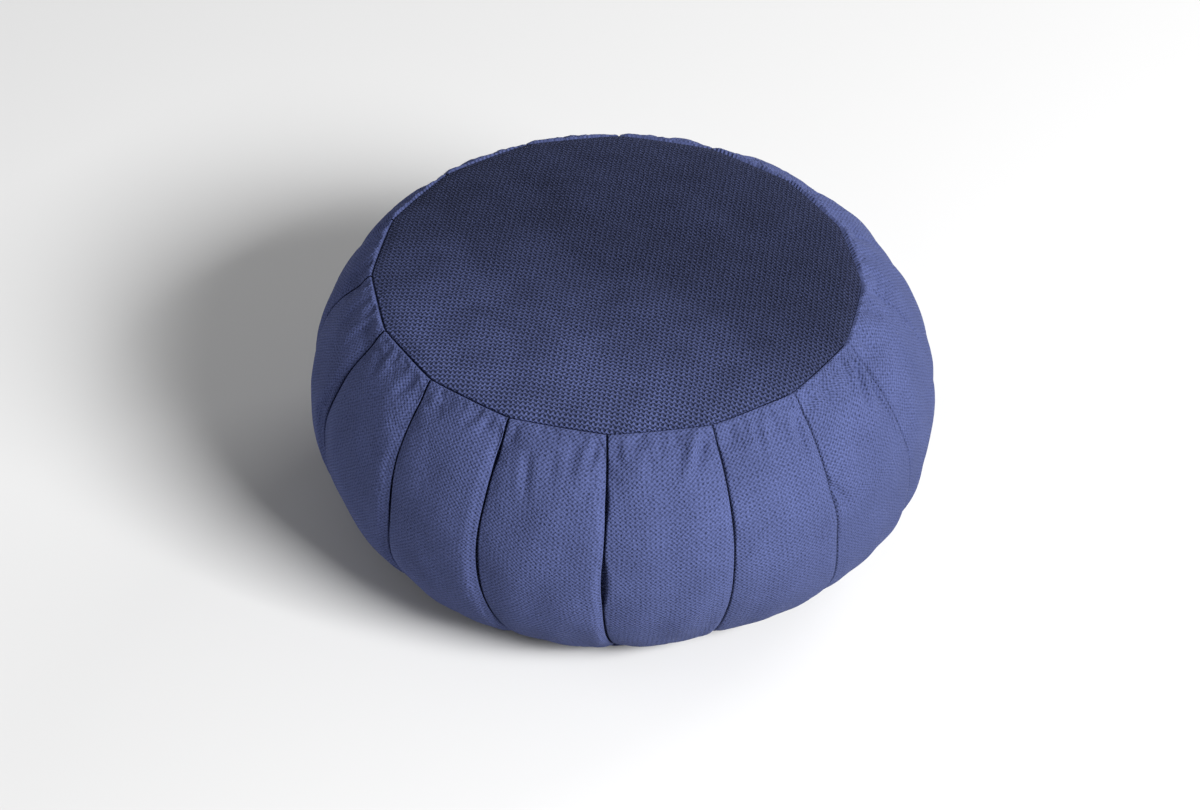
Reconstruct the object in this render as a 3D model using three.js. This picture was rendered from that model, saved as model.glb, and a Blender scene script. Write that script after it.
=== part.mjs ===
// A round meditation cushion, filled: a knife-pleated side band sewn between a top and a bottom disc of cloth.
// Millimetres, +Z up. The origin is on the floor under the middle of the cushion, and the front is -Y.
// A turn is an angle round the cushion in degrees, 0 at the front and growing to the right.
import * as THREE from "three";

// Driving sizes of the whole cushion
const seamRadius = 145;
const seamShift = -4.1; // the two discs sit a little to the left of the fullest girth
const middleHeight = 84; // height of the fullest girth above the floor
const bellyCore = 60.8; // the side's outline is a superellipse round this radius
const bellyReach = 126;
const bellyRise = 99.9;
const bellySquareness = 2.17;
const seamElevation = 49.8; // where the side's outline meets each seam, in degrees of the superellipse

// Slight ovals, as sine and cosine of twice the turn
const seamOval = { sine: 1.8, cosine: 1.2 };
const bellyOval = { sine: 0.6, cosine: 1.0 };
const seamFlat = 1.1; // how far each seam runs inside its round between two folds

// The discs of cloth
const clothThickness = 2;
const pieceGap = 0.3;
const discInset = 0.9; // from the seam's radius to a disc's rim
const topSeamHeight = 164.5;
const crownHeight = 11;
const crownPower = 2.6;
const bottomSeamHeight = 3.8;
const floorFlatShare = 0.84; // the share of the bottom disc that lies flat on the floor
const rimRound = 0.8; // how far in a disc's rim starts to round
const rimCornerShare = 1 - rimRound / (seamRadius - discInset);

// The pleats
const panelPuff = 0.8; // how far each panel swells between its two folds
const risePower = 1.8; // how a panel rises out of its tuck across its width
const noseWidth = 2.8; // where a fold's edge starts to roll under
const tuckFloor = 0.4; // how far a panel lies flat beside the fold before it
const underlap = 2.4; // how far a panel starts back under the fold before it
const fullLip = 2.4; // a step of this height or more has its full underlap
const seamFade = 0.07; // the share of the band's height over which the pleats grow out of each seam
const seamFlatten = 0.45; // the share of its height that a pleat has at the seam

// A fold's round edge: how far back from it, as a share of noseWidth, and how far down, as a share of its step
const nose = [
  { back: 1, down: -0.05 },
  { back: 0.3, down: 0.1 },
  { back: 0, down: 0.42 },
  { back: 0.2, down: 0.78 },
];

// One row for each fold, each list read at the top seam, the upper side, the belly, the lower side and the
// bottom seam: the fold's turn, the height of its step, and how far out the side stands there
const folds = [
  { turns: [-158.5, -157, -156.4, -157, -158], steps: [2.4, 2.8, 3, 2.8, 2.4], outs: [0, 2.4, 0.8, 0.6, 0.6] },
  { turns: [-136, -135, -134, -135, -136], steps: [2.2, 2.5, 2.6, 2.6, 2.4], outs: [0, 0.4, 0.7, 0.5, 0.4] },
  { turns: [-113.8, -114.6, -115, -114, -113], steps: [2.4, 3, 3.2, 3, 2.4], outs: [0, 0.8, 0.5, 0.3, 0.3] },
  { turns: [-91, -94.5, -94, -93, -91], steps: [2.6, 3.4, 3.6, 3.2, 2.6], outs: [0, 0, 0.1, 0, 0.2] },
  { turns: [-69.4, -71.4, -74, -74, -72], steps: [2.6, 3.8, 4.2, 3.6, 2.8], outs: [0, -0.1, 0.6, -0.8, 0.5] },
  { turns: [-47.7, -47.6, -47.5, -50.5, -51], steps: [2.4, 3.4, 3.8, 3.6, 2.8], outs: [0, 0, -0.1, 0.3, 2.4] },
  { turns: [-25.1, -26.4, -27.2, -24.9, -22.3], steps: [2.4, 3.4, 3.8, 3.8, 3], outs: [0, 0.1, 0.4, 2.3, 1.6] },
  { turns: [-2.5, -3.3, -4, -3.2, -0.4], steps: [2.6, 3.2, 3.8, 3.8, 3], outs: [0, 0, 0.1, 0.7, 0.1] },
  { turns: [20.8, 19.9, 19.3, 19, 19.4], steps: [2.4, 3.2, 3.2, 3.2, 3.2], outs: [0, 0, -0.4, -2.3, -2.9] },
  { turns: [42.3, 40.7, 40.6, 42, 43], steps: [2.4, 2.6, 2.4, 1.8, 2.2], outs: [0, -0.3, -0.2, 1.3, -1.1] },
  { turns: [64.8, 62.6, 64.2, 66.6, 67], steps: [2.2, 1.6, 0.9, 0.8, 2], outs: [0, -0.6, -1.7, 2.8, 0.6] },
  { turns: [88.6, 86.2, 86.4, 87, 88], steps: [1.8, 0.8, 0.7, 0.9, 2], outs: [0, -0.9, -0.6, -1, 0.1] },
  { turns: [111, 110.2, 110, 110.4, 111], steps: [2, 1.4, 1.3, 1.6, 2.2], outs: [0, 0.2, -1.1, -0.2, 0.1] },
  { turns: [133.4, 132.9, 132.8, 132.8, 133], steps: [2.2, 2, 2, 2.2, 2.4], outs: [0, 2.2, 1, 0.5, 0.3] },
  { turns: [156, 155.7, 155.6, 155.6, 155.5], steps: [2.4, 2.5, 2.6, 2.6, 2.4], outs: [0, 4, 1, 0.8, 0.6] },
  { turns: [179, 179.2, 179.2, 179.1, 179], steps: [2.4, 2.8, 3, 2.8, 2.4], outs: [0, 4, 0.8, 0.8, 0.7] },
];
const topSeam = 0; // the places of the two seams in those lists
const bottomSeam = 4;

// How finely the solids are divided
const bandRows = 16;
const panelShares = [0.11, 0.24, 0.4, 0.58, 0.77]; // points on a panel between its tuck and its nose
const discPointsPerPanel = 4;
const discShares = [0.3, 0.5, 0.68, floorFlatShare, 0.93, 0.98];
const rimSteps = 3;

const radians = THREE.MathUtils.degToRad;

// Eases from 0 to 1 as x goes from 0 to 1.
function ease(x) {
  return THREE.MathUtils.smoothstep(x, 0, 1);
}

// A smooth curve through evenly spaced values, read at a share of its length. Its ends run straight on.
function through(values, share) {
  const padded = [2 * values[0] - values[1], ...values, 2 * values.at(-1) - values.at(-2)];
  const spans = values.length - 1;
  const i = Math.min(Math.floor(share * spans), spans - 1);
  const t = share * spans - i;
  const [a, b, c, d] = padded.slice(i, i + 4);
  return b + (t / 2) * (c - a + t * (2 * a - 5 * b + 4 * c - d + t * (3 * (b - c) + d - a)));
}

// The side's outline before pleating, with its outward normal, at a share of the height from the top seam down.
function sideOutline(share) {
  const elevation = radians(seamElevation * (1 - 2 * share));
  const out = Math.cos(elevation) ** (2 / bellySquareness);
  const up = Math.sign(elevation) * Math.abs(Math.sin(elevation)) ** (2 / bellySquareness);
  const normal = new THREE.Vector2(
    out ** (bellySquareness - 1) / bellyReach,
    (Math.sign(up) * Math.abs(up) ** (bellySquareness - 1)) / bellyRise,
  ).normalize();
  const radius = bellyCore + bellyReach * out;
  return { radius, height: middleHeight + bellyRise * up, normal };
}

const fullestRadius = bellyCore + bellyReach;

// How far the outline at this radius has gone from the seam, 0, to the fullest girth, 1.
function fullness(radius) {
  return THREE.MathUtils.clamp((radius - seamRadius) / (fullestRadius - seamRadius), 0, 1);
}

function oval({ sine, cosine }, turn) {
  return sine * Math.sin(2 * radians(turn)) + cosine * Math.cos(2 * radians(turn));
}

// A point at a turn and radius round an axis that is shifted sideways.
function pointAt(turn, radius, shift, height) {
  return new THREE.Vector3(
    shift + radius * Math.sin(radians(turn)),
    -radius * Math.cos(radians(turn)),
    height,
  );
}

// A seam's distance from the middle of the discs, at a share of the panel from one fold to the next.
function seamAt(turn, s) {
  return seamRadius + oval(seamOval, turn) - seamFlat * Math.sin(Math.PI * s);
}

// The points of one panel across its width, from its tuck to its nose: the turn, the height over the side, how
// far out the side stands, and the share of the panel.
function panelSection(before, after, share, radius) {
  const free = ease(Math.min(share, 1 - share) / seamFade);
  const grown = seamFlatten + (1 - seamFlatten) * free;
  const start = through(before.turns, share);
  const end = through(after.turns, share) + (after.turns[topSeam] < before.turns[topSeam] ? 360 : 0);
  const tuck = grown * through(before.steps, share);
  const step = grown * through(after.steps, share);
  const degrees = (length) => THREE.MathUtils.radToDeg(length / radius);
  const rise = (s) => -tuck * (1 - s) ** risePower + free * panelPuff * Math.sin(Math.PI * s);
  const section = [
    { turn: start - degrees(underlap * Math.min(1, tuck / fullLip)), over: -tuck },
    { turn: start + degrees(tuckFloor), over: -tuck },
    ...panelShares.map((s) => ({ turn: THREE.MathUtils.lerp(start, end, s), over: rise(s) })),
    ...nose.map(({ back, down }) => ({ turn: end - degrees(back * noseWidth), over: -down * step })),
  ];
  return section.map(({ turn, over }) => {
    const s = THREE.MathUtils.clamp((turn - start) / (end - start), 0, 1);
    const out = THREE.MathUtils.lerp(through(before.outs, share), through(after.outs, share), ease(s));
    return { turn, over, out, s };
  });
}

// One ring of the pleated band.
function bandRing(share) {
  const { radius, height, normal } = sideOutline(share);
  const full = fullness(radius);
  return folds.flatMap((before, i) => {
    const section = panelSection(before, folds[(i + 1) % folds.length], share, radius);
    return section.map(({ turn, over, out, s }) => {
      const uneven = full * oval(bellyOval, turn) + (1 - full) * (seamAt(turn, s) - seamRadius);
      const reach = radius + out + uneven + over * normal.x;
      return pointAt(turn, reach, seamShift * (1 - full), height + over * normal.y);
    });
  });
}

// A ring at one height, at a share of the radius of the disc at one of the two seams.
function discRing(seam, share, height) {
  return folds.flatMap((before, i) => {
    const after = folds[(i + 1) % folds.length];
    const start = before.turns[seam];
    const end = after.turns[seam] + (after.turns[seam] < start ? 360 : 0);
    return Array.from({ length: discPointsPerPanel }, (_, j) => {
      const s = j / discPointsPerPanel;
      const turn = THREE.MathUtils.lerp(start, end, s);
      const out = THREE.MathUtils.lerp(before.outs[seam], after.outs[seam], ease(s));
      return pointAt(turn, share * (seamAt(turn, s) + out - discInset), seamShift, height);
    });
  });
}

// The outer face of each disc, as a height at a share of the disc's radius.
function crown(share) {
  return topSeamHeight + crownHeight * (1 - share ** crownPower);
}

function base(share) {
  const bent = Math.max(0, (share - floorFlatShare) / (1 - floorFlatShare));
  return bottomSeamHeight * bent ** 2;
}

// The triangles between two rings of points that run the same way round, given by their first index and count.
function stitch(upper, lower) {
  const at = (ring, i) => ring.first + (i % ring.count);
  const index = [];
  let i = 0;
  let j = 0;
  while (i < upper.count || j < lower.count) {
    if ((i + 1) * lower.count <= (j + 1) * upper.count) {
      index.push(at(upper, i), at(lower, j), at(upper, i + 1));
      i += 1;
    } else {
      index.push(at(upper, i), at(lower, j), at(lower, j + 1));
      j += 1;
    }
  }
  return index;
}

// A closed solid from rings of points round an upright axis, from the top down. Each end is a fan to a pole.
function solidFromRings(topPole, rings, bottomPole) {
  const positions = [topPole, ...rings.flat(), bottomPole].flatMap((p) => [p.x, p.y, p.z]);
  let first = 1;
  const loops = rings.map((ring) => {
    const loop = { first, count: ring.length };
    first += ring.length;
    return loop;
  });
  const index = [];
  for (let i = 0; i < loops[0].count; i++) {
    index.push(0, 1 + i, 1 + ((i + 1) % loops[0].count));
  }
  for (let ring = 1; ring < loops.length; ring++) {
    index.push(...stitch(loops[ring - 1], loops[ring]));
  }
  const end = loops.at(-1);
  for (let i = 0; i < end.count; i++) {
    index.push(end.first + ((i + 1) % end.count), end.first + i, first);
  }
  const geometry = new THREE.BufferGeometry();
  geometry.setAttribute("position", new THREE.Float32BufferAttribute(positions, 3));
  geometry.setIndex(index);
  geometry.computeVertexNormals();
  return geometry;
}

// The filled body: the pleated band all round, closed under the two discs.
function filledBody() {
  const underTop = (share) => crown(share) - clothThickness - pieceGap;
  const overBottom = (share) => base(share) + clothThickness + pieceGap;
  const rings = [
    ...discShares.map((share) => discRing(topSeam, share, underTop(share))),
    discRing(topSeam, rimCornerShare, underTop(1)),
    ...Array.from({ length: bandRows + 1 }, (_, row) => bandRing(row / bandRows)),
    discRing(bottomSeam, rimCornerShare, overBottom(1)),
    ...discShares.toReversed().map((share) => discRing(bottomSeam, share, overBottom(share))),
  ];
  return solidFromRings(
    new THREE.Vector3(seamShift, 0, underTop(0)),
    rings,
    new THREE.Vector3(seamShift, 0, overBottom(0)),
  );
}

// A disc of cloth of even thickness with a rounded rim. Its faces lie at and inside a height function.
function clothDisc(seam, heightAt, topFace, bottomFace) {
  const middle = heightAt(1) + (topFace + bottomFace) / 2;
  const half = (topFace - bottomFace) / 2;
  const rimRings = Array.from({ length: rimSteps + 1 }, (_, i) => {
    const bend = Math.PI * (i / rimSteps - 0.5);
    const share = THREE.MathUtils.lerp(rimCornerShare, 1, Math.cos(bend));
    return discRing(seam, share, middle - half * Math.sin(bend));
  });
  const rings = [
    ...discShares.map((share) => discRing(seam, share, heightAt(share) + topFace)),
    ...rimRings,
    ...discShares.toReversed().map((share) => discRing(seam, share, heightAt(share) + bottomFace)),
  ];
  return solidFromRings(
    new THREE.Vector3(seamShift, 0, heightAt(0) + topFace),
    rings,
    new THREE.Vector3(seamShift, 0, heightAt(0) + bottomFace),
  );
}

function cloth(color) {
  return new THREE.MeshStandardMaterial({ color, roughness: 0.9, metalness: 0 });
}

function piece(name, geometry, material) {
  const mesh = new THREE.Mesh(geometry, material);
  mesh.name = name;
  return mesh;
}

const cushion = new THREE.Group();
cushion.add(piece("pleated_body", filledBody(), cloth(0x4d5781)));
cushion.add(piece("top_disc", clothDisc(topSeam, crown, 0, -clothThickness), cloth(0x373d5a)));
cushion.add(piece("bottom_disc", clothDisc(bottomSeam, base, clothThickness, 0), cloth(0x373d5a)));

export default cushion;
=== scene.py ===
"""Builds a round, filled floor cushion: a knife-pleated side band sewn between two discs of woven chenille.

The tables and formulas are in millimetres, and each mesh is written in metres. A turn is an angle round
the cushion in degrees, 0 at the front and growing to the right. A share runs from 0 at the top seam to 1 at
the bottom seam.
"""

import math

import bpy
import numpy as np
from bpy.props import FloatProperty, FloatVectorProperty, PointerProperty
from mathutils import Matrix, Vector


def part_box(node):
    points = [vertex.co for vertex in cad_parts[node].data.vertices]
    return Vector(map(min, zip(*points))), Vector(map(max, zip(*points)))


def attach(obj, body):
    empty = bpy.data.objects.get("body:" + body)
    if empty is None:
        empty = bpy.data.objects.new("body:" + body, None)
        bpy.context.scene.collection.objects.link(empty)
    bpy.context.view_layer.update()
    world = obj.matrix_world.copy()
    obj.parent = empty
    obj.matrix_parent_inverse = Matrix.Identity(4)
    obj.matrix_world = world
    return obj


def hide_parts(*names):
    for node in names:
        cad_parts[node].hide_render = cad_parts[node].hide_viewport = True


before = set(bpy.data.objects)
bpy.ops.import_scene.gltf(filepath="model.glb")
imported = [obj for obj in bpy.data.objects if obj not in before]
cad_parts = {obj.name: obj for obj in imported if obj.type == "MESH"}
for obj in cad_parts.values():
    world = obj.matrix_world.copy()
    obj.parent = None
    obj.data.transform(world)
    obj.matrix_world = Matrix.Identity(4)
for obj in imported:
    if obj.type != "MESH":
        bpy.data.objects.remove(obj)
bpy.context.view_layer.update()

bl_info = {
    "name": "Pleated Floor Cushion",
    "version": (1, 0, 0),
    "blender": (4, 5, 0),
    "location": "View3D > Sidebar > Cushion",
    "description": "Builds a round floor cushion with a knife-pleated side band",
    "category": "Add Mesh",
}

MM = 0.001
TOP_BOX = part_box("top_disc")
BOTTOM_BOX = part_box("bottom_disc")

# The side's outline before pleating is a superellipse round an upright ring
BELLY_SQUARENESS = 2.17
SEAM_ELEVATION = 49.8
SEAM_FLAT = 2.0
SEAM_OVAL = (1.8, 1.2)
BELLY_OVAL = (0.6, 1.0)
DISC_INSET = 0.9
CROWN_POWER = 3.1
FLOOR_FLAT_SHARE = 0.84

# How a pleat grows out of each seam, how the band dips into the bottom seam, and how it swells beside the
# top one
SEAM_FADE = 0.07
SEAM_FLATTEN = 0.6
SEAM_DIP = 1.3
SEAM_DIP_REACH = 0.9
SEAM_SWELL = 2.2
SEAM_SWELL_REACH = 9.0
FULL_LIP = 2.4

# How a panel climbs out of the groove beside the fold before it: a steep wall, a soft bank and a long rise
GROOVE_WIDTH = 1.5
GROOVE_DEPTH = 3.0
WALL_SHARE = 0.3
BANK_SHARE = 0.42
BANK_REACH = 11.0
RISE_POWER = 1.8

# How a panel rolls over at its own fold
POCKET_SHARE = 0.14
SHOULDER_SHARE = 0.52
LIP_POWER = 1.5
GAPE_RETREAT = 0.25

# One row for each fold: its turns, the heights of its step and how far out the side stands there, each
# read at the top seam, the upper side, the belly, the lower side and the bottom seam, and its roll's width
FOLD_KEYS = ("turns", "steps", "outs", "lip")
FOLD_ROWS = [
    ((-158.5, -157, -156.4, -157, -158), (2.4, 2.8, 3, 2.8, 2.4), (0, 0.4, 0.6, 0.6, 0.6), 6),
    ((-136, -135, -134, -135, -136), (2.2, 2.5, 2.6, 2.6, 2.4), (0, -1.4, 0.5, 0.5, 0.4), 5),
    ((-113.8, -114.6, -115, -114, -113), (2.4, 3, 3.2, 3, 2.4), (0, -0.2, 0.5, 0.3, 0.3), 6),
    ((-91, -94.5, -94, -93, -91), (2.6, 3.4, 3.6, 3.2, 2.6), (0, 0, 0.1, 0, 0.2), 7),
    ((-69.4, -71.4, -74, -74, -72), (2.8, 4.6, 4.8, 4, 3), (0, -0.1, 0.6, -0.8, 0.5), 6.5),
    ((-47.7, -47.6, -47.5, -50.5, -51), (2.8, 4.6, 4.8, 4, 3), (0, 0, -0.1, 0.3, 2.4), 7),
    ((-25.1, -26.4, -27.2, -24.9, -22.3), (2.8, 4.6, 4.6, 4, 3), (0, 0.1, 0.4, 2.3, 1.6), 6.5),
    ((-2.5, -3.3, -4, -3.2, -0.4), (2.8, 3.8, 4.2, 3.8, 3), (0, 0, 0.1, 0.7, 0.1), 4.5),
    ((20.8, 19.9, 19.3, 19, 19.4), (2.6, 3.6, 3.6, 3.4, 3.2), (0, 0, -0.4, -2.3, -2.9), 4),
    ((42.3, 40.7, 40.6, 42, 43), (2.6, 3.2, 2.8, 2, 2.2), (0, -0.3, -0.2, 1.3, -1.1), 4),
    ((64.8, 62.6, 64.2, 66.6, 67), (3.4, 3.2, 1.4, 0.8, 2), (0, -0.6, -1.7, 2.8, 0.6), 4),
    ((88.6, 86.2, 86.4, 87, 88), (2.8, 1.2, 0.7, 0.9, 2), (0, -0.9, -0.6, -1, 0.1), 4),
    ((111, 110.2, 110, 110.4, 111), (2, 1.4, 1.3, 1.6, 2.2), (0, 0.2, -1.1, -0.2, 0.1), 5),
    ((133.4, 132.9, 132.8, 132.8, 133), (2.2, 2, 2, 2.2, 2.4), (0, 2.2, 1, 0.5, 0.3), 5),
    ((156, 155.7, 155.6, 155.6, 155.5), (2.4, 2.5, 2.6, 2.6, 2.4), (0, 2.8, 1, 0.8, 0.6), 6),
    ((179, 179.2, 179.2, 179.1, 179), (2.4, 2.8, 3, 2.8, 2.4), (0, 2, 0.8, 0.8, 0.7), 6),
]
FOLDS = [dict(zip(FOLD_KEYS, row)) for row in FOLD_ROWS]

# Where a fold stands open and its groove gapes: the share it is centred on, half its length, and its width
GAPES = [
    {"fold": 7, "at": 0.49, "half": 0.11, "wide": 2.6},
    {"fold": 7, "at": 0.22, "half": 0.08, "wide": 0.8},
    {"fold": 6, "at": 0.12, "half": 0.06, "wide": 0.7},
    {"fold": 6, "at": 0.5, "half": 0.16, "wide": 0.6},
    {"fold": 8, "at": 0.3, "half": 0.1, "wide": 0.5},
    {"fold": 5, "at": 0.42, "half": 0.14, "wide": 0.7},
    {"fold": 4, "at": 0.3, "half": 0.14, "wide": 0.8},
    {"fold": 9, "at": 0.46, "half": 0.08, "wide": 0.7},
    {"fold": 9, "at": 0.35, "half": 0.1, "wide": 2.0},
    {"fold": 10, "at": 0.13, "half": 0.14, "wide": 1.6},
    {"fold": 11, "at": 0.08, "half": 0.09, "wide": 1.2},
    {"fold": 14, "at": 0.4, "half": 0.12, "wide": 0.8},
]

# Where a fold all but vanishes for a while, as a share of its step
PINCHES = [
    {"fold": 9, "at": 0.42, "half": 0.08, "share": 0.6},
    {"fold": 10, "at": 0.45, "half": 0.12, "share": 0.6},
]

# Ridges and hollows where the cloth is gathered: where each starts and ends, as a turn and a distance down
# from the top seam, its half width and its height
GATHER_KEYS = ("start", "end", "half", "rise")
GATHER_ROWS = [
    ((18.2, -4), (10.6, 36), 3.2, 3.8),
    ((15.0, -8), (10.6, 14), 2.6, -3.0),
    ((20.4, -2), (14.2, 27), 2.4, -3.2),
    ((-3.0, -4), (-7.6, 27), 2.6, -3.6),
    ((-5.0, -2), (-10.2, 50), 4.0, 1.9),
    ((-0.9, 0), (0.5, 24), 2.6, -1.1),
    ((4.6, 12), (2.6, 36), 3.5, 1.0),
    ((-12.0, -6), (-10.2, 8), 2.4, -1.5),
    ((-29.6, 0), (-33.0, 18), 3.0, 1.9),
    ((-27.6, -4), (-30.6, 20), 2.2, -1.9),
    ((-20.6, 14), (-19.4, 56), 3.4, 1.1),
    ((-18.8, 14), (-18.0, 54), 2.6, -1.1),
    ((-16.8, 12), (-16.4, 58), 3.4, 1.1),
    ((-13.8, 12), (-13.2, 46), 2.8, -1.1),
    ((25.6, -6), (23.4, 17), 2.4, -2.5),
    ((28.4, -6), (27.3, 12), 2.0, -1.9),
    ((29.8, 6), (28.4, 33), 2.2, -1.9),
    ((28.4, 6), (27.6, 26), 2.2, 1.5),
    ((32.2, 2), (31.0, 22), 2.2, 1.5),
    ((34.9, -6), (34.3, 18), 2.2, -2.5),
    ((37.4, 8), (35.4, 32), 2.0, 1.5),
    ((39.8, 8), (35.6, 54), 2.2, -2.5),
    ((41.0, 56), (45.0, 80), 2.2, -3.4),
    ((63.4, -6), (54.6, 30), 3.2, 4.8),
    ((61.6, 2), (54.8, 40), 2.0, -3.6),
    ((62.8, 2), (57.2, 40), 2.4, 4.6),
    ((62.8, 4), (59.6, 62), 2.0, -4.8),
    ((69.3, 2), (69.0, 20), 2.0, -1.5),
    ((82.4, -2), (80.6, 14), 2.0, -1.9),
    ((78.0, -2), (76.5, 14), 2.2, 1.1),
    ((-62.0, -4), (-60.0, 26), 4.0, 1.5),
    ((-50.6, -2), (-54.6, 30), 3.0, -1.9),
    ((-73.0, -2), (-77.0, 30), 3.0, -1.9),
]
GATHERS_SEEN_FROM = -91
GATHERS_SEEN_TO = 86
GATHER_OVERRUN = 4
GATHER_PEAK_POWER = 0.6
SEED = 11

# The seeded gathers beside a fold: how many, how far from it the first lies and the others follow, how long
# they are and how they lean, both less from one to the next, how they rise, less at the top, and how wide
HIDDEN_GATHERS = 5
HIDDEN_START = 1.5
HIDDEN_SPACING = 3.6
HIDDEN_LENGTHS = (14, 34)
HIDDEN_SHORTENING = 0.2
HIDDEN_LEANS = (1, 5)
HIDDEN_STRAIGHTENING = 0.6
HIDDEN_RISES = (0.5, 1.1)
HIDDEN_TOP_SHARE = 0.5
HIDDEN_HALVES = (2, 3.2)

# The cloth's simulation works on every second point and holds the folds and seams. Near the seams the cloth
# is cut wider than its place by a share, less so at the foot, so it puckers there. The mass is each point's,
# in kilograms, and no point moves further than the cap.
CLOTH_STRIDE = 2
CLOTH_FRAMES = 16
CLOTH_QUALITY = 6
CLOTH_MASS = 0.002
CLOTH_STIFFNESS = 8.0
CLOTH_BENDING = 0.002
CLOTH_PRESSURE = 14.0
CLOTH_FULLNESS = 0.036
CLOTH_FULL_TO = 30.0
CLOTH_FOOT_SHARE = 0.4
CLOTH_CAP = 6.0
HELD_COLUMNS = (8, 47)

# Mesh divisions
BAND_ROWS = 100
ROW_CROWDING = 0.1
GROOVE_COLUMNS = (0.0, 0.25, 0.5, 0.75, 1.0, 1.4)
PANEL_COLUMNS = 34
LIP_COLUMNS = 6
NOSE_COLUMNS = 7
DISC_SEGMENTS = 704
DISC_RINGS = 46
FIRST_RING = 0.02
RING_POWER = 0.9
INNER_RING_STRIDE = 9
RIM_RINGS = 7

# How the body closes under each disc: rings drawn in by these shares, this far inside the disc's outer face
CLOSING_SHARES = (0.985, 0.9, 0.6)
CLOSING_DEPTH = 3.6

# The top disc's rim: how high it lies, and how far it rolls down beyond a share of its radius
RIM_LIFT = 0.7
RIM_ROLL = 1.4
RIM_ROLL_SHARE = 0.94

# The filling's soft unevenness: a number of waves, how they run, and how high they stand
BAND_WAVES = 30
BAND_WAVE_ORDERS = (6, 46)
BAND_WAVE_SLOPE = 0.09
BAND_WAVE_RISE = 0.3
DISC_WAVES = 28
DISC_WAVE_LENGTHS = (24, 90)
DISC_WAVE_RISE = 0.35
DISC_WAVE_FADE = 6

# How far each panel's cut lies from the one before on the bolt of cloth
CUT_STEP = (83.1, 41.7)


def from_hex(code):
    """The linear colour of an sRGB hex code: the low end is a straight line, the rest a power of 2.4."""
    channels = [int(code[i : i + 2], 16) / 255 for i in (1, 3, 5)]
    linear = [c / 12.92 if c <= 0.04045 else ((c + 0.055) / 1.055) ** 2.4 for c in channels]
    return (*linear, 1.0)


class CushionSizes(bpy.types.PropertyGroup):
    """Sizes of the whole cushion, in metres."""

    seam_radius: FloatProperty(
        name="Seam radius",
        description="From the middle of a disc to its seam",
        default=145 * MM,
        min=0.05,
        unit="LENGTH",
        subtype="DISTANCE",
    )
    seam_shift: FloatProperty(
        name="Seam shift",
        description="How far the discs sit beside the fullest girth",
        default=(TOP_BOX[0][0] + TOP_BOX[1][0]) / 2,
        unit="LENGTH",
        subtype="DISTANCE",
    )
    middle_height: FloatProperty(
        name="Middle height",
        description="Height of the fullest girth above the floor",
        default=84 * MM,
        unit="LENGTH",
        subtype="DISTANCE",
    )
    belly_core: FloatProperty(
        name="Belly core",
        description="Radius of the ring that the side's outline is drawn round",
        default=60.8 * MM,
        unit="LENGTH",
        subtype="DISTANCE",
    )
    belly_reach: FloatProperty(
        name="Belly reach",
        description="From that ring out to the fullest girth",
        default=126 * MM,
        unit="LENGTH",
        subtype="DISTANCE",
    )
    belly_rise: FloatProperty(
        name="Belly rise",
        description="Half height of the superellipse that the side follows",
        default=99.9 * MM,
        unit="LENGTH",
        subtype="DISTANCE",
    )
    crown_height: FloatProperty(
        name="Crown height",
        description="How far the top disc rises above its seam",
        default=11 * MM,
        unit="LENGTH",
        subtype="DISTANCE",
    )
    cloth_thickness: FloatProperty(
        name="Cloth thickness",
        description="Thickness of a disc's cloth",
        default=2 * MM,
        min=0.0005,
        unit="LENGTH",
        subtype="DISTANCE",
    )
    panel_puff: FloatProperty(
        name="Panel puff",
        description="How far each panel swells between its two folds",
        default=0.6 * MM,
        unit="LENGTH",
        subtype="DISTANCE",
    )
    underlap: FloatProperty(
        name="Underlap",
        description="How far a panel starts back under the fold before it",
        default=4 * MM,
        unit="LENGTH",
        subtype="DISTANCE",
    )


class CushionCloth(bpy.types.PropertyGroup):
    """Colours and thread spacing of the chenille."""

    pile_colour: FloatVectorProperty(
        name="Pile colour",
        description="Colour of the raised chenille floats",
        default=from_hex("#464e76"),
        size=4,
        min=0,
        max=1,
        subtype="COLOR",
    )
    # The gap's colour is the pile's, darkened by painted shade for the recesses between the floats.
    gap_colour: FloatVectorProperty(
        name="Gap colour",
        description="Colour down between the floats",
        default=from_hex("#1d2236"),
        size=4,
        min=0,
        max=1,
        subtype="COLOR",
    )
    warp_repeat: FloatProperty(
        name="Warp repeat",
        description="Width of one repeat of the weave",
        default=2.92 * MM,
        min=0.0005,
        unit="LENGTH",
        subtype="DISTANCE",
    )
    weft_repeat: FloatProperty(
        name="Weft repeat",
        description="Height of one repeat of the weave",
        default=3.03 * MM,
        min=0.0005,
        unit="LENGTH",
        subtype="DISTANCE",
    )


def sizes():
    """The sizes in millimetres, by name."""
    group = bpy.context.scene.cushion_sizes
    return {name: getattr(group, name) / MM for name in CushionSizes.__annotations__}


def ease(x):
    """Smoothstep: 3 x squared minus 2 x cubed, with x held between 0 and 1."""
    x = np.clip(x, 0, 1)
    return x * x * (3 - 2 * x)


def through(values, share):
    """A Catmull-Rom curve through evenly spaced values, read at each share. Its ends run straight on."""
    v = np.array(values, float)
    v = np.concatenate([[2 * v[0] - v[1]], v, [2 * v[-1] - v[-2]]])
    spans = len(values) - 1
    i = np.clip(np.floor(share * spans).astype(int), 0, spans - 1)
    t = share * spans - i
    a, b, c, d = v[i], v[i + 1], v[i + 2], v[i + 3]
    bend = 2 * a - 5 * b + 4 * c - d + t * (3 * (b - c) + d - a)
    return b + 0.5 * t * (c - a + t * bend)


def oval(waves, turn):
    """A slight oval: a sine and a cosine of twice the turn."""
    sine, cosine = waves
    return sine * np.sin(2 * np.radians(turn)) + cosine * np.cos(2 * np.radians(turn))


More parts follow.
